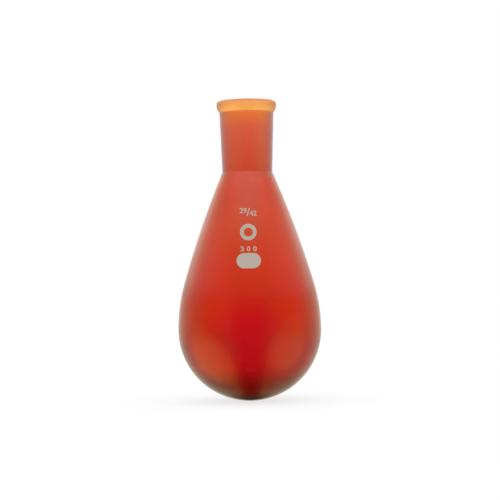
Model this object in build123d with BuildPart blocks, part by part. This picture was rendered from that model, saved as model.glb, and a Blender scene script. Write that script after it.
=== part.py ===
from build123d import *

import os
from math import acos, asin, cos, degrees, radians, sin

# A pear-shaped boiling flask for rotary evaporation: one piece of blown amber borosilicate glass
# with a round bottom, straight-sided shoulders, and a neck that is a ground socket for a
# standard 1:10 taper cone. Marks of fired enamel lie on the front of the bulb.
#
# Sizes are in millimetres. The origin is the centre of the mouth, +Z points up out of the neck
# and -Y is the marked front.

# Ground socket of the 29/42 size: the diameter at the large end, the ground length, and the
# diameter lost for each millimetre of depth.
socket_mouth_diameter = 29.2
socket_length = 42.0
socket_taper = 0.1

# Glass around the socket, thicker at its foot than at the mouth, and how far below the ground
# length the neck ends in the corner where it meets the bulb.
neck_top_wall = 1.75
neck_foot_wall = 2.4
neck_margin = 0.2
neck_foot_fillet = 1.5

# Rolled bead at the mouth, which a joint clip hooks under: how far it stands out from the neck,
# its upright side, and the rounded underside that runs back to the neck.
bead_overhang = 1.5
bead_side_height = 2.5
bead_underside_height = 4.3
bead_top_round = 1.65
bead_foot_fillet = 1.0
mouth_round = 0.7

# Bulb: a half sphere, then an arc that turns the wall inwards, then a long shallow arc up to
# the neck. Each arc starts in line with the one before.
belly_diameter = 85.0
shoulder_radius = 97.0
shoulder_turn = 16.1
flank_radius = 565.0
wall = 1.8

# Inside, the bulb's wall thickens evenly over this height up to the foot of the socket, where a
# small round leads into the ground length.
swell_height = 18.0
swell_fillet = 1.5

# Fired enamel on the front: how thick it lies on the glass and the hair's breadth that keeps it
# clear of it, a patch to write on, and a ring. Levels go up from the belly's widest line.
enamel_thickness = 0.1
enamel_clearance = 0.03
spot_width = 14.0
spot_height = 8.8
spot_level = 40.5
ring_diameter = 9.6
ring_stroke = 2.2
ring_level = 57.0

# Radii of the socket, and of the neck and bead around it.
mouth_radius = socket_mouth_diameter / 2
socket_foot_radius = mouth_radius - socket_taper * socket_length / 2
neck_top_radius = mouth_radius + neck_top_wall
neck_foot_radius = socket_foot_radius + neck_foot_wall
bead_radius = neck_top_radius + bead_overhang

# The flank starts where the shoulder arc ends, and turns until it is as narrow as the neck.
belly_radius = belly_diameter / 2
start_turn = radians(shoulder_turn)
start_radius = belly_radius - shoulder_radius * (1 - cos(start_turn))
end_turn = acos(cos(start_turn) - (start_radius - neck_foot_radius) / flank_radius)
flank_turn = degrees(end_turn - start_turn)

# Levels, from the mouth down to the bottom.
bead_foot_level = -bead_side_height - bead_underside_height
socket_foot_level = -socket_length
neck_foot_level = socket_foot_level - neck_margin
swell_level = socket_foot_level - swell_height
flank_centre_level = neck_foot_level - flank_radius * sin(end_turn)
belly_level = flank_centre_level + (flank_radius - shoulder_radius) * sin(start_turn)
bottom_level = belly_level - belly_radius

# The neck narrows evenly down to its foot, and the cavity's flank stops where the swell starts.
neck_slope = (neck_top_radius - neck_foot_radius) / neck_foot_level
bead_foot_radius = neck_top_radius - neck_slope * bead_foot_level
cavity_end_turn = asin((swell_level - flank_centre_level) / (flank_radius - wall))
cavity_flank_turn = degrees(cavity_end_turn - start_turn)


def bulb_line(depth, last_turn):
    """Draw the bulb's wall from the bottom up, this deep in the glass, and return its last arc."""
    bottom = JernArc((0, bottom_level + depth), (1, 0), belly_radius - depth, 90)
    shoulder = JernArc(bottom @ 1, bottom % 1, shoulder_radius - depth, shoulder_turn)
    return JernArc(shoulder @ 1, shoulder % 1, flank_radius - depth, last_turn)


def circles_at(part, radius, level):
    """The round edges of this radius about the flask's axis at this level."""
    return [
        edge
        for edge in part.edges().filter_by(GeomType.CIRCLE)
        if abs(edge.radius - radius) < 0.001 and abs(edge.arc_center.Z - level) < 0.001
    ]


# Flask: the outside is turned first, then the cavity is cut out of it in one revolved cut.
with BuildPart() as flask:
    with BuildSketch(Plane.XZ):
        with BuildLine():
            flank = bulb_line(0, flank_turn)
            neck = Line(flank @ 1, (bead_foot_radius, bead_foot_level))
            underside = TangentArc((bead_radius, -bead_side_height), neck @ 1, tangent=(0, -1))
            Polyline(underside @ 0, (bead_radius, 0), (0, 0), (0, bottom_level))
        make_face()
    revolve(axis=Axis.Z)

    with BuildSketch(Plane.XZ):
        with BuildLine():
            cavity_flank = bulb_line(wall, cavity_flank_turn)
            swell = TangentArc(
                cavity_flank @ 1,
                (socket_foot_radius, socket_foot_level),
                tangent=cavity_flank % 1,
            )
            Polyline(swell @ 1, (mouth_radius, 0), (0, 0), (0, bottom_level + wall))
        make_face()
    revolve(axis=Axis.Z, mode=Mode.SUBTRACT)

    fillet(circles_at(flask.part, neck_foot_radius, neck_foot_level), neck_foot_fillet)
    fillet(circles_at(flask.part, socket_foot_radius, socket_foot_level), swell_fillet)
    fillet(circles_at(flask.part, bead_foot_radius, bead_foot_level), bead_foot_fillet)
    fillet(circles_at(flask.part, bead_radius, 0), bead_top_round)
    fillet(circles_at(flask.part, mouth_radius, 0), mouth_round)


def enamel_profile():
    """Section of a thin coat over the whole bulb, to be turned and cut to a printed shape."""
    back = -enamel_clearance
    front = back - enamel_thickness
    with BuildSketch(Plane.XZ) as profile:
        for depth, mode in ((front, Mode.ADD), (back, Mode.SUBTRACT)):
            with BuildLine():
                side = bulb_line(depth, flank_turn)
                Polyline(side @ 1, (0, neck_foot_level), (0, bottom_level + depth))
            make_face(mode=mode)
    return profile.sketch


# Marking spot: a patch with round ends that follows the glass.
with BuildPart() as marking_spot:
    revolve(enamel_profile(), axis=Axis.Z)
    with BuildSketch(Plane.XZ):
        with Locations((0, belly_level + spot_level)):
            SlotOverall(spot_width, spot_height)
    extrude(amount=belly_radius, mode=Mode.INTERSECT)

# Ring mark: printed above the spot in the same coat of enamel.
with BuildPart() as ring_mark:
    revolve(enamel_profile(), axis=Axis.Z)
    with BuildSketch(Plane.XZ):
        with Locations((0, belly_level + ring_level)):
            Circle(ring_diameter / 2)
            Circle(ring_diameter / 2 - ring_stroke, mode=Mode.SUBTRACT)
    extrude(amount=belly_radius, mode=Mode.INTERSECT)

flask.part.label = "flask"
marking_spot.part.label = "marking_spot"
ring_mark.part.label = "ring_mark"

os.makedirs("parts", exist_ok=True)
export_step(flask.part, "parts/flask.step")
export_step(marking_spot.part, "parts/marking_spot.step")
export_step(ring_mark.part, "parts/ring_mark.step")
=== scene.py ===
from math import acos, asin, atan, atan2, cos, pi, radians, sin, sqrt

import bmesh
import bpy
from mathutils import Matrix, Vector


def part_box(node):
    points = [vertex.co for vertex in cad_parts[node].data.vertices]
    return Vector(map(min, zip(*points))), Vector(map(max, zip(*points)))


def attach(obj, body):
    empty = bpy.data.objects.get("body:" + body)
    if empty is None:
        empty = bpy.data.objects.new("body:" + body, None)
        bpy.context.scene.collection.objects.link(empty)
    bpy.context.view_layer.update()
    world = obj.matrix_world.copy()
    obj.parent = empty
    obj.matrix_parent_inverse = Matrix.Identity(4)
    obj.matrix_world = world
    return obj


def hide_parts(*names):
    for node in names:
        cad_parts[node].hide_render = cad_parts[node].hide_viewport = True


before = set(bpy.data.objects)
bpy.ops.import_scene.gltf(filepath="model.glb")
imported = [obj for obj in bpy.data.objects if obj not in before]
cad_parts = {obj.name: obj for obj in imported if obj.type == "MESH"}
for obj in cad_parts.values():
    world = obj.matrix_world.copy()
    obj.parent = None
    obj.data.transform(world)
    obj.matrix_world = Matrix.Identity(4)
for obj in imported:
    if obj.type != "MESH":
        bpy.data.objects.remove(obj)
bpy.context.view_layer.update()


# Flask: one wall of blown borosilicate glass, round at the bottom and drawn up into a neck.
# It is turned in a flame, so its section is a chain of arcs, each starting in line with the
# last: here a single vertex is spun about each arc's centre, and the chain about the axis.
mm = 0.001
full_turn = 2 * pi
quarter_turn = pi / 2
front_axis = (0, -1, 0)

flask_low, flask_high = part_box("flask")
belly_radius = flask_high.x
belly_level = flask_low.z + belly_radius
shoulder_radius = 97 * mm
shoulder_turn = radians(16.1)
flank_radius = 565 * mm
glass_wall = 1.8 * mm

socket_mouth_radius = 14.6 * mm
socket_slope = 1 / 20
socket_length = 42 * mm
socket_foot_radius = socket_mouth_radius - socket_slope * socket_length
swell_height = 18 * mm
swell_fillet = 1.5 * mm
neck_top_wall = 1.75 * mm
neck_foot_wall = 2.4 * mm
neck_margin = 0.2 * mm
neck_top_radius = socket_mouth_radius + neck_top_wall
neck_foot_radius = socket_foot_radius + neck_foot_wall
neck_foot_level = -socket_length - neck_margin
neck_foot_fillet = 1.5 * mm

bead_overhang = 1.5 * mm
bead_radius = neck_top_radius + bead_overhang
bead_side_height = 2.5 * mm
bead_underside_height = 4.3 * mm
bead_top_round = 1.65 * mm
bead_foot_fillet = 1.0 * mm
mouth_round = 0.7 * mm

belly_steps = 56
shoulder_steps = 14
flank_steps = 30
corner_steps = 8
underside_steps = 10
swell_steps = 12
socket_steps = 12
steps_round = 192
same_place = 0.01 * mm
merge_distance = 0.001 * mm


def at(radius, level):
    """A point of the section at this distance from the axis and this level."""
    return Vector((radius, 0, level))


def extend(bm, vert, point):
    """Draw the section on from a vertex to a point, and return the new vertex."""
    new = bmesh.ops.extrude_vert_indiv(bm, verts=[vert])["verts"][0]
    new.co = point
    return new


def arc(bm, vert, centre, turn, steps):
    """Draw the section on along an arc about a centre, and return its last vertex."""
    swept = bmesh.ops.spin(
        bm, geom=[vert], cent=centre, axis=front_axis, angle=turn, steps=steps, use_merge=False
    )
    return [item for item in swept["geom_last"] if isinstance(item, bmesh.types.BMVert)][0]


def bulb_arcs(bm, depth, end_turn):
    """Draw the bulb's wall this deep in the glass, from the bottom pole up to its last turn."""
    shoulder_centre = at(belly_radius - shoulder_radius, belly_level)
    flank_start = shoulder_centre + at(cos(shoulder_turn), sin(shoulder_turn)) * shoulder_radius
    flank_centre = flank_start - at(cos(shoulder_turn), sin(shoulder_turn)) * flank_radius
    pole = bm.verts.new(at(0, belly_level - belly_radius + depth))
    belly = arc(bm, pole, at(0, belly_level), quarter_turn, belly_steps)
    shoulder = arc(bm, belly, shoulder_centre, shoulder_turn, shoulder_steps)
    return arc(bm, shoulder, flank_centre, end_turn - shoulder_turn, flank_steps)


def ring(bm, radius, level):
    """The edges that run round the flask at this radius and level."""
    def on_ring(vert):
        across = abs(vert.co.xy.length - radius)
        return across < same_place and abs(vert.co.z - level) < same_place

    return [edge for edge in bm.edges if all(on_ring(vert) for vert in edge.verts)]


def round_off(bm, radius, level, fillet, corner):
    """Round a corner that runs round the flask, where corner is how far the wall turns in it."""
    bmesh.ops.bevel(
        bm,
        geom=ring(bm, radius, level),
        offset=fillet * sin(corner / 2) / cos(corner / 2),
        offset_type="OFFSET",
        affect="EDGES",
        segments=corner_steps,
        profile=0.5,
        material=-1,
    )


shoulder_end_radius = belly_radius - shoulder_radius * (1 - cos(shoulder_turn))
flank_end_turn = acos(cos(shoulder_turn) - (shoulder_end_radius - neck_foot_radius) / flank_radius)
flank_centre_radius = shoulder_end_radius - flank_radius * cos(shoulder_turn)
flank_centre_level = belly_level + (shoulder_radius - flank_radius) * sin(shoulder_turn)
swell_level = -socket_length - swell_height
cavity_end_turn = asin((swell_level - flank_centre_level) / (flank_radius - glass_wall))
socket_foot = at(socket_foot_radius, -socket_length)

neck_spread = (neck_top_radius - neck_foot_radius) / -neck_foot_level
bead_foot_level = -bead_side_height - bead_underside_height
bead_foot_radius = neck_top_radius + neck_spread * bead_foot_level
bead_reach = bead_radius - bead_foot_radius
underside_turn = 2 * atan2(bead_reach, bead_underside_height)
underside_radius = bead_underside_height / sin(underside_turn)

bm = bmesh.new()
outside_end = bulb_arcs(bm, 0, flank_end_turn)
bead_foot = extend(bm, outside_end, at(bead_foot_radius, bead_foot_level))
underside_centre = at(bead_radius - underside_radius, -bead_side_height)
bead_side = arc(bm, bead_foot, underside_centre, underside_turn, underside_steps)
bead_top = extend(bm, bead_side, at(bead_radius, 0))
mouth = extend(bm, bead_top, at(socket_mouth_radius, 0))

cavity_end = bulb_arcs(bm, glass_wall, cavity_end_turn)
swell_start = cavity_end.co.copy()
swell_chord = socket_foot - swell_start
swell_turn = 2 * (atan2(-swell_chord.x, swell_chord.z) - cavity_end_turn)
swell_radius = swell_chord.length / 2 / sin(swell_turn / 2)
swell_centre = swell_start - at(cos(cavity_end_turn), sin(cavity_end_turn)) * swell_radius
socket_wall = arc(bm, cavity_end, swell_centre, swell_turn, swell_steps)
for step in range(1, socket_steps):
    socket_wall = extend(bm, socket_wall, socket_foot.lerp(mouth.co, step / socket_steps))
bm.edges.new((socket_wall, mouth))

bmesh.ops.spin(
    bm, geom=bm.verts[:] + bm.edges[:], cent=(0, 0, 0), axis=(0, 0, 1), angle=full_turn,
    steps=steps_round, use_merge=True,
)
bmesh.ops.remove_doubles(bm, verts=bm.verts, dist=merge_distance)
bmesh.ops.recalc_face_normals(bm, faces=bm.faces)
neck_foot_corner = flank_end_turn + atan(neck_spread)
round_off(bm, neck_foot_radius, neck_foot_level, neck_foot_fillet, neck_foot_corner)
socket_foot_corner = cavity_end_turn + swell_turn + atan(socket_slope)
round_off(bm, socket_foot_radius, -socket_length, swell_fillet, socket_foot_corner)
bead_foot_corner = underside_turn - atan(neck_spread)
round_off(bm, bead_foot_radius, bead_foot_level, bead_foot_fillet, bead_foot_corner)
round_off(bm, bead_radius, 0, bead_top_round, quarter_turn)
round_off(bm, socket_mouth_radius, 0, mouth_round, quarter_turn - atan(socket_slope))

SKIN, NECK_SKIN, CLEAR, GROUND, HALF_GROUND = range(5)
run_out_length = 5 * mm
run_out_level = -socket_length - run_out_length
for face in bm.faces:
    middle = face.calc_center_median()
    spine = Vector((0, 0, max(middle.z, belly_level)))
    face.smooth = True
    if (middle - spine).dot(face.normal) >= 0:
        on_neck = neck_foot_level < middle.z < bead_foot_level
        face.material_index = NECK_SKIN if on_neck else SKIN
    elif -socket_length < middle.z < -mouth_round:
        face.material_index = GROUND
    elif run_out_level < middle.z <= -socket_length:
        face.material_index = HALF_GROUND
    else:
        face.material_index = CLEAR

flask_mesh = bpy.data.meshes.new("flask_glass")
bm.to_mesh(flask_mesh)
bm.free()
flask = bpy.data.objects.new("flask_glass", flask_mesh)
bpy.context.scene.collection.objects.link(flask)


def linear(hex_colour):
    """An sRGB hex colour as the linear red, green, blue and alpha that a shader takes."""
    channels = [int(hex_colour[start:start + 2], 16) / 255 for start in (1, 3, 5)]
    return (*(c / 12.92 if c <= 0.04045 else ((c + 0.055) / 1.055) ** 2.4 for c in channels), 1)


def add(tree, kind, settings, links=()):
    """Add a node with its settings, which name its properties or sockets, and its links."""
    made = tree.nodes.new(kind)
    for name, value in settings.items():
        if isinstance(name, str) and hasattr(made, name):
            setattr(made, name, value)
        else:
            made.inputs[name].default_value = value
    for source, name in links:
        tree.links.new(source, made.inputs[name])
    return made


def material(name):
    """A new material with an empty node tree, and its output node."""
    made = bpy.data.materials.new(name)
    made.use_nodes = True
    made.node_tree.nodes.clear()
    return made, made.node_tree, add(made.node_tree, "ShaderNodeOutputMaterial", {})


# Amber stain: silver and copper salts fired a few thousandths of a millimetre into the outside
# of the blown glass, which stays glossy. Stops run by depth below the mouth: orange at the bead,
# deeper red and darker towards the bottom, and deeper still where light crosses at a slant.
borosilicate_ior = 1.474
stain_stops = (
    (0.000, "#FD9D52"),
    (0.026, "#FD7709"),
    (0.042, "#FD7B30"),
    (0.085, "#E95F40"),
    (0.230, "#DA4929"),
    (0.400, "#DA4F28"),
    (0.600, "#D93208"),
    (0.690, "#D42016"),
    (0.730, "#D1121B"),
    (0.820, "#C31319"),
    (0.905, "#BA131B"),
    (0.945, "#901D10"),
    (1.000, "#98402E"),
)
cloud_size = 15 * mm
slant_path = 2.2
# How much painted shade darkens the bulb's colour at its sides.
side_shade_amount = 0.18
stain_and_side_shade_glass, tree, output = material("borosilicate_amber_stain_and_side_shade")
place = add(tree, "ShaderNodeTexCoord", {})
split = add(tree, "ShaderNodeSeparateXYZ", {}, [(place.outputs["Object"], "Vector")])
depth = add(tree, "ShaderNodeMapRange", {
    "From Min": 0, "From Max": flask_low.z, "To Min": 0, "To Max": 1,
}, [(split.outputs["Z"], "Value")])
stain = add(tree, "ShaderNodeValToRGB", {}, [(depth.outputs["Result"], "Fac")])
elements = stain.color_ramp.elements
while len(elements) < len(stain_stops):
    elements.new(0.5)
for element, (position, colour) in zip(elements, stain_stops):
    element.position = position
    element.color = linear(colour)
clouds = add(tree, "ShaderNodeTexNoise", {"Scale": 1 / cloud_size, "Detail": 3, "Roughness": 0.6}, [
    (place.outputs["Object"], "Vector"),
])
shade = add(tree, "ShaderNodeMapRange", {
    "From Min": 0.3, "From Max": 0.7, "To Min": 0.94, "To Max": 1.04,
}, [(clouds.outputs["Fac"], "Value")])
clouded = add(tree, "ShaderNodeVectorMath", {"operation": "MULTIPLY"}, [
    (stain.outputs["Color"], 0), (shade.outputs["Result"], 1),
])
facing = add(tree, "ShaderNodeLayerWeight", {"Blend": 0.5})
on_bulb = add(tree, "ShaderNodeMapRange", {
    "interpolation_type": "SMOOTHSTEP", "From Min": 0.20, "From Max": 0.32, "To Min": 0, "To Max": 1,
}, [(depth.outputs["Result"], "Value")])
slant = add(tree, "ShaderNodeMath", {"operation": "MULTIPLY"}, [
    (facing.outputs["Facing"], 0), (on_bulb.outputs["Result"], 1),
])
# Painted shade: the bulb's colour is darkened towards its sides, the more the glass turns away.
side_shading = add(tree, "ShaderNodeMapRange", {
    "From Min": 0, "From Max": 1, "To Min": 1, "To Max": 1 - side_shade_amount,
}, [(slant.outputs[0], "Value")])
bulb_path = add(tree, "ShaderNodeMapRange", {
    "From Min": 0, "From Max": 1, "To Min": 1, "To Max": slant_path,
}, [(facing.outputs["Facing"], "Value")])
neck_path = add(tree, "ShaderNodeMapRange", {
    "interpolation_type": "SMOOTHSTEP", "From Min": 0.5, "From Max": 0.95, "To Min": 1,
    "To Max": slant_path,
}, [(facing.outputs["Facing"], "Value")])
path = add(tree, "ShaderNodeMix", {"data_type": "FLOAT"}, [
    (on_bulb.outputs["Result"], 0),
    (neck_path.outputs["Result"], 2),
    (bulb_path.outputs["Result"], 3),
])
slanted = add(tree, "ShaderNodeGamma", {}, [
    (clouded.outputs["Vector"], "Color"), (path.outputs[0], "Gamma"),
])
side_shaded = add(tree, "ShaderNodeVectorMath", {"operation": "SCALE"}, [
    (slanted.outputs["Color"], 0), (side_shading.outputs["Result"], "Scale"),
])
shader = add(tree, "ShaderNodeBsdfPrincipled", {
    "Transmission Weight": 1, "IOR": borosilicate_ior, "Roughness": 0, "Coat Weight": 0.8,
    "Coat Roughness": 0.02,
}, [(side_shaded.outputs["Vector"], "Base Color")])
tree.links.new(shader.outputs["BSDF"], output.inputs["Surface"])
flask_mesh.materials.append(stain_and_side_shade_glass)

# Bloomed amber stain: on the neck the same coat keeps a faint lilac bloom from the kiln, which
# shows as a soft sheen, and its colour is darkened towards the sides as painted shade.
bloom_and_side_shade_glass = stain_and_side_shade_glass.copy()
bloom_and_side_shade_glass.name = "borosilicate_amber_bloom_and_side_shade"
tree = bloom_and_side_shade_glass.node_tree
bloom = {"Sheen Weight": 0.36, "Sheen Roughness": 0.5, "Sheen Tint": linear("#E4D4FF")}
for name, value in bloom.items():
    tree.nodes[shader.name].inputs[name].default_value = value
# Painted shade: the neck's colour darkens towards its sides.
neck_side_shade = {"From Max": 0.3, "To Min": 0.97, "To Max": 0.76}
for name, value in neck_side_shade.items():
    tree.nodes[side_shading.name].inputs[name].default_value = value
tree.links.new(tree.nodes[facing.name].outputs["Facing"], tree.nodes[side_shading.name].inputs["Value"])
flask_mesh.materials.append(bloom_and_side_shade_glass)

# Bare borosilicate inside: smooth from the flame in the bulb, ground with fine grit in the socket
# to an even frost, and half dull for a few millimetres below it, where the grit ran out. The
# frost is part air, so its index is lower than the glass's, and the thick wall has no black lines.
inside_finishes = (
    ("borosilicate_fire_polished", borosilicate_ior, 0),
    ("borosilicate_ground_socket", 1.2, 0.6),
    ("borosilicate_half_ground", 1.33, 0.35),
)
for name, index, roughness in inside_finishes:
    bare_glass, tree, output = material(name)
    shader = add(tree, "ShaderNodeBsdfPrincipled", {
        "Base Color": (1, 1, 1, 1), "Transmission Weight": 1, "IOR": index, "Roughness": roughness,
    })
    tree.links.new(shader.outputs["BSDF"], output.inputs["Surface"])
    flask_mesh.materials.append(bare_glass)

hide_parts("flask")
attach(flask, "root")


# Enamel marks: ceramic ink printed through a screen and fired on to the outside of the glass.
# A plain ring, a spot to write on in pencil, and two lines of plain figures: the size of the
# ground joint over the capacity. The figures follow the curve of the glass, as the others do.
enamel_thickness = 0.1 * mm
enamel_clearance = 0.03 * mm
stroke_swell = 0.022
stroke_depth = 0.1
stroke_weld = 0.0001
# Each figure's name, its text, its middle's place across and up, its width and its height.
figures = (
    ("joint_size_upper", "29", -2.8 * mm, -66.0 * mm, 4.0 * mm, 3.1 * mm),
    ("joint_size_stroke", "/", 0.2 * mm, -66.8 * mm, 2.2 * mm, 4.6 * mm),
    ("joint_size_lower", "42", 3.0 * mm, -67.6 * mm, 4.0 * mm, 3.1 * mm),
    ("capacity_hundreds", "3", -3.65 * mm, -88.3 * mm, 2.0 * mm, 2.9 * mm),
    ("capacity_tens", "0", 0.0 * mm, -88.3 * mm, 2.0 * mm, 2.9 * mm),
    ("capacity_units", "0", 3.65 * mm, -88.3 * mm, 2.0 * mm, 2.9 * mm),
)

# Fired ink: a warm grey ceramic glaze, matt, with a grain of half a millimetre from the screen.
grain_size = 0.5 * mm
grain_height = 0.03 * mm
enamel, tree, output = material("enamel_fired_ink")
place = add(tree, "ShaderNodeTexCoord", {})
grain = add(tree, "ShaderNodeTexNoise", {"Scale": 1 / grain_size, "Detail": 3}, [
    (place.outputs["Object"], "Vector"),
])
tone = add(tree, "ShaderNodeValToRGB", {}, [(grain.outputs["Fac"], "Fac")])
ink_stops = ((0.3, "#AEA293"), (0.7, "#BEB3A5"))
for element, (position, colour) in zip(tone.color_ramp.elements, ink_stops):
    element.position = position
    element.color = linear(colour)
bumps = add(tree, "ShaderNodeBump", {"Strength": 0.4, "Distance": grain_height}, [
    (grain.outputs["Fac"], "Height"),
])
shader = add(tree, "ShaderNodeBsdfPrincipled", {"Roughness": 0.55, "IOR": 1.5}, [
    (tone.outputs["Color"], "Base Color"), (bumps.outputs["Normal"], "Normal"),
])
tree.links.new(shader.outputs["BSDF"], output.inputs["Surface"])
for name in ("marking_spot", "ring_mark"):
    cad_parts[name].data.materials.clear()
    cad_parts[name].data.materials.append(enamel)

for name, body, across, level, width, height in figures:
    figure_curve = bpy.data.curves.new(name + "_curve", "FONT")
    figure_curve.body = body
    figure_curve.offset = stroke_swell
    figure_curve.extrude = stroke_depth
    figure_object = bpy.data.objects.new(name + "_curve", figure_curve)
    figure_mesh = bpy.data.meshes.new_from_object(figure_object)
    figure_mesh.name = name
    bm = bmesh.new()
    bm.from_mesh(figure_mesh)
    bmesh.ops.remove_doubles(bm, verts=bm.verts, dist=stroke_weld)
    bmesh.ops.recalc_face_normals(bm, faces=bm.faces)
    low = Vector([min(vert.co[axis] for vert in bm.verts) for axis in range(3)])
    high = Vector([max(vert.co[axis] for vert in bm.verts) for axis in range(3)])
    for vert in bm.verts:
        share = [(vert.co[axis] - low[axis]) / (high[axis] - low[axis]) for axis in range(3)]
        x = across + (share[0] - 0.5) * width
        z = level + (share[1] - 0.5) * height
        glass = flank_centre_radius + sqrt(flank_radius ** 2 - (z - flank_centre_level) ** 2)
        out = enamel_clearance + share[2] * enamel_thickness
        vert.co = (x, -sqrt(glass ** 2 - x ** 2) - out, z)
    bm.to_mesh(figure_mesh)
    bm.free()
    figure_mesh.materials.append(enamel)
    figure = bpy.data.objects.new(name, figure_mesh)
    bpy.context.scene.collection.objects.link(figure)
    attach(figure, "root")


# Floor: a broad sheet right under the flask, in matt paint that glows enough of itself to stay
# white and still take the flask's shadow. Mirrored rays go through it to the studio below.
floor_half_width = 3
floor_grey = 0.3
floor_glow = 0.73

floor_bm = bmesh.new()
bmesh.ops.create_grid(floor_bm, x_segments=1, y_segments=1, size=floor_half_width)
bmesh.ops.translate(floor_bm, verts=floor_bm.verts, vec=(0, 0, flask_low.z))
floor_mesh = bpy.data.meshes.new("floor")
floor_bm.to_mesh(floor_mesh)
floor_bm.free()
floor = bpy.data.objects.new("floor", floor_mesh)
bpy.context.scene.collection.objects.link(floor)
floor_paint, tree, output = material("floor_white_paint")
paint = add(tree, "ShaderNodeBsdfDiffuse", {"Color": (floor_grey, floor_grey, floor_grey, 1)})
glow = add(tree, "ShaderNodeEmission", {"Color": (1, 1, 1, 1), "Strength": floor_glow})
both = add(tree, "ShaderNodeAddShader", {}, [(paint.outputs[0], 0), (glow.outputs[0], 1)])
rays = add(tree, "ShaderNodeLightPath", {})
gone = add(tree, "ShaderNodeBsdfTransparent", {})
seen = add(tree, "ShaderNodeMixShader", {}, [
    (rays.outputs["Glossy Depth"], 0), (both.outputs[0], 1), (gone.outputs[0], 2),
])
tree.links.new(seen.outputs[0], output.inputs["Surface"])
floor_mesh.materials.append(floor_paint)


# Studio: white to the eye, and painted only for mirrored rays, by how the glass that mirrors them
# is turned and tilted, which is halfway from the ray to the front. It has a table, the shade at
# the flask's foot, a wall, a ceiling brighter upwards, a soft box overhead and two warm lamps.
studio_stops = {
    "table": (
        (0.00, "#1B191A"), (0.10, "#28221C"), (0.20, "#5A5538"), (0.30, "#8A8250"),
        (0.60, "#AEA484"), (0.80, "#B6AE96"), (0.90, "#CABCA8"), (1.00, "#D8C8B8"),
    ),
    "wall": (
        (0.00, "#191719"), (0.12, "#201A1A"), (0.22, "#4C4830"), (0.30, "#736F40"),
        (0.60, "#989440"), (0.80, "#BCB88A"), (0.90, "#CAC4A2"), (0.97, "#E4CCB6"),
        (1.00, "#E8D8C8"),
    ),
    "ceiling": (
        (0.00, "#66625C"), (0.30, "#76726A"), (0.60, "#A4A092"), (0.80, "#C2C2A8"),
        (0.90, "#D0D6C2"), (0.97, "#D2C0B4"), (1.00, "#DCC8BE"),
    ),
    "foot": (
        (0.00, "#50403A"), (0.30, "#5E4A3C"), (0.60, "#8C7A68"), (0.80, "#BAAE9A"),
        (1.00, "#D8C8B8"),
    ),
}
# Each lamp's direction, the nearness to it where it starts and is full, its strength and colour.
studio_lamps = (
    ((0, 0, 1), 0.56, 0.80, 0.65, "#FFFFFF"),
    ((-0.80, -0.07, -0.595), 0.72, 1.0, 1.1, "#FFA046"),
    ((0.84, -0.30, -0.45), 0.76, 1.0, 0.65, "#FFB860"),
)

room = bpy.data.worlds.new("room")
bpy.context.scene.world = room
room.use_nodes = True
tree = room.node_tree
tree.nodes.clear()
look = add(tree, "ShaderNodeTexCoord", {})
halfway = add(tree, "ShaderNodeVectorMath", {
    "operation": "MULTIPLY_ADD", 1: (1, -1, 1), 2: (0, 1.001, 0),
}, [(look.outputs["Generated"], 0)])
tilted = add(tree, "ShaderNodeVectorMath", {"operation": "NORMALIZE"}, [(halfway.outputs[0], 0)])
tilt = add(tree, "ShaderNodeSeparateXYZ", {}, [(tilted.outputs[0], "Vector")])
levelled = add(tree, "ShaderNodeVectorMath", {"operation": "MULTIPLY", 1: (1, 1, 0)}, [
    (halfway.outputs[0], 0),
])
level_way = add(tree, "ShaderNodeVectorMath", {"operation": "NORMALIZE"}, [
    (levelled.outputs[0], 0),
])
turned = add(tree, "ShaderNodeSeparateXYZ", {}, [(level_way.outputs[0], "Vector")])
sideways = add(tree, "ShaderNodeMath", {"operation": "ABSOLUTE"}, [(turned.outputs["X"], 0)])

# A ray that goes straight back has no half-way vector, so near there the paint fades to its last
# stop across and runs by the ray's own height. That keeps a crease out of the side and back views.
ray = add(tree, "ShaderNodeSeparateXYZ", {}, [(look.outputs["Generated"], "Vector")])
off_axis = add(tree, "ShaderNodeMath", {"operation": "ABSOLUTE"}, [(ray.outputs["X"], 0)])
narrow = add(tree, "ShaderNodeMapRange", {
    "interpolation_type": "SMOOTHSTEP", "From Min": 0.35, "From Max": 0.15, "To Min": 0, "To Max": 1,
}, [(off_axis.outputs[0], "Value")])
fade_start = add(tree, "ShaderNodeMapRange", {
    "interpolation_type": "SMOOTHSTEP", "From Min": -0.1, "From Max": 0.1, "To Min": 0.90,
    "To Max": 0.35,
}, [(ray.outputs["Z"], "Value")])
fade_end = add(tree, "ShaderNodeMapRange", {
    "interpolation_type": "SMOOTHSTEP", "From Min": -0.1, "From Max": 0.1, "To Min": 0.99,
    "To Max": 0.85,
}, [(ray.outputs["Z"], "Value")])
behind = add(tree, "ShaderNodeMapRange", {
    "interpolation_type": "SMOOTHSTEP", "To Min": 0, "To Max": 1,
}, [
    (ray.outputs["Y"], "Value"),
    (fade_start.outputs[0], "From Min"),
    (fade_end.outputs[0], "From Max"),
])
away = add(tree, "ShaderNodeMath", {"operation": "MULTIPLY"}, [
    (behind.outputs[0], 0), (narrow.outputs[0], 1),
])
aside = add(tree, "ShaderNodeMix", {"data_type": "FLOAT", 3: 1}, [
    (away.outputs[0], 0), (sideways.outputs[0], 2),
])
upward = add(tree, "ShaderNodeMix", {"data_type": "FLOAT"}, [
    (away.outputs[0], 0), (tilt.outputs["Z"], 2), (ray.outputs["Z"], 3),
])

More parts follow.
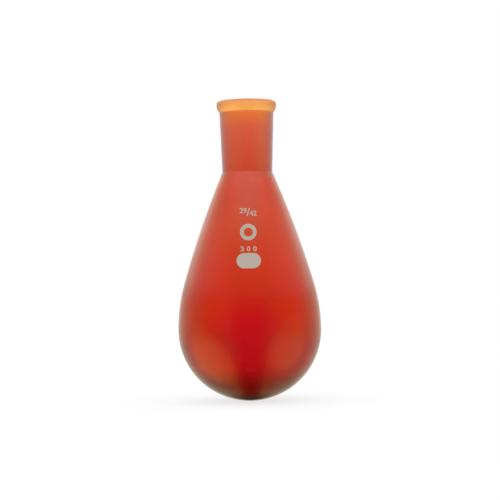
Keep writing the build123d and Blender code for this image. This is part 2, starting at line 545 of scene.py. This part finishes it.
painted = {}
for part, stops in studio_stops.items():
    painted[part] = add(tree, "ShaderNodeValToRGB", {}, [(aside.outputs[0], "Fac")])
    elements = painted[part].color_ramp.elements
    while len(elements) < len(stops):
        elements.new(0.5)
    for element, (position, colour) in zip(elements, stops):
        element.position = position
        element.color = linear(colour)
above = add(tree, "ShaderNodeMapRange", {
    "interpolation_type": "SMOOTHSTEP", "From Min": 0.10, "From Max": 0.27, "To Min": 0, "To Max": 1,
}, [(upward.outputs[0], "Value")])
below = add(tree, "ShaderNodeMapRange", {
    "interpolation_type": "SMOOTHSTEP", "From Min": -0.03, "From Max": -0.27, "To Min": 0,
    "To Max": 1,
}, [(upward.outputs[0], "Value")])
under = add(tree, "ShaderNodeMapRange", {
    "interpolation_type": "SMOOTHSTEP", "From Min": -0.86, "From Max": -0.95, "To Min": 0,
    "To Max": 1,
}, [(upward.outputs[0], "Value")])
low_down = add(tree, "ShaderNodeMix", {"data_type": "RGBA"}, [
    (under.outputs[0], 0),
    (painted["table"].outputs["Color"], 6),
    (painted["foot"].outputs["Color"], 7),
])
lower = add(tree, "ShaderNodeMix", {"data_type": "RGBA"}, [
    (below.outputs[0], 0), (painted["wall"].outputs["Color"], 6), (low_down.outputs[2], 7),
])
strong = add(tree, "ShaderNodeMapRange", {
    "interpolation_type": "LINEAR", "From Min": 0.10, "From Max": 0.36, "To Min": 0.8, "To Max": 1.5,
}, [(upward.outputs[0], "Value")])
upper = add(tree, "ShaderNodeVectorMath", {"operation": "SCALE"}, [
    (painted["ceiling"].outputs["Color"], 0), (strong.outputs[0], "Scale"),
])
studio = add(tree, "ShaderNodeMix", {"data_type": "VECTOR"}, [
    (above.outputs[0], 0), (lower.outputs[2], 4), (upper.outputs["Vector"], 5),
])
studio_light = studio.outputs[1]
for aim, edge, core, strength, colour in studio_lamps:
    towards = add(tree, "ShaderNodeVectorMath", {"operation": "DOT_PRODUCT", 1: aim}, [
        (look.outputs["Generated"], 0),
    ])
    glow = add(tree, "ShaderNodeMapRange", {
        "interpolation_type": "SMOOTHSTEP", "From Min": edge, "From Max": core, "To Min": 0,
        "To Max": strength,
    }, [(towards.outputs["Value"], "Value")])
    lamp = add(tree, "ShaderNodeVectorMath", {"operation": "SCALE", 0: linear(colour)[:3]}, [
        (glow.outputs["Result"], "Scale"),
    ])
    lit = add(tree, "ShaderNodeVectorMath", {"operation": "ADD"}, [
        (studio_light, 0), (lamp.outputs["Vector"], 1),
    ])
    studio_light = lit.outputs["Vector"]
rays = add(tree, "ShaderNodeLightPath", {})
mirrored = add(tree, "ShaderNodeMath", {"operation": "MINIMUM", 1: 1}, [
    (rays.outputs["Glossy Depth"], 0),
])
shown = add(tree, "ShaderNodeMix", {"data_type": "VECTOR", 4: (1, 1, 1)}, [
    (mirrored.outputs[0], 0), (studio_light, 5),
])
background = add(tree, "ShaderNodeBackground", {"Strength": 1}, [(shown.outputs[1], "Color")])
add(tree, "ShaderNodeOutputWorld", {}, [(background.outputs[0], "Surface")])


# Camera: a long lens nine tenths of a metre in front of the flask, level with the upper bulb and
# turned up, rolled and turned aside by less than a degree.
sensor_width = 36
picture_pixels = 500
focal_pixels = 1511.9
camera_place = (0, -0.9, -0.1003)
camera_rise = radians(0.745)
camera_roll = radians(0.904)
camera_swing = radians(-0.042)

camera_data = bpy.data.cameras.new("camera")
camera_data.sensor_width = sensor_width
camera_data.lens = sensor_width * focal_pixels / picture_pixels
camera = bpy.data.objects.new("camera", camera_data)
camera.location = camera_place
camera.rotation_euler = (quarter_turn + camera_rise, camera_roll, camera_swing)
bpy.context.scene.collection.objects.link(camera)
bpy.context.scene.camera = camera
bpy.context.scene.view_settings.view_transform = "Standard"
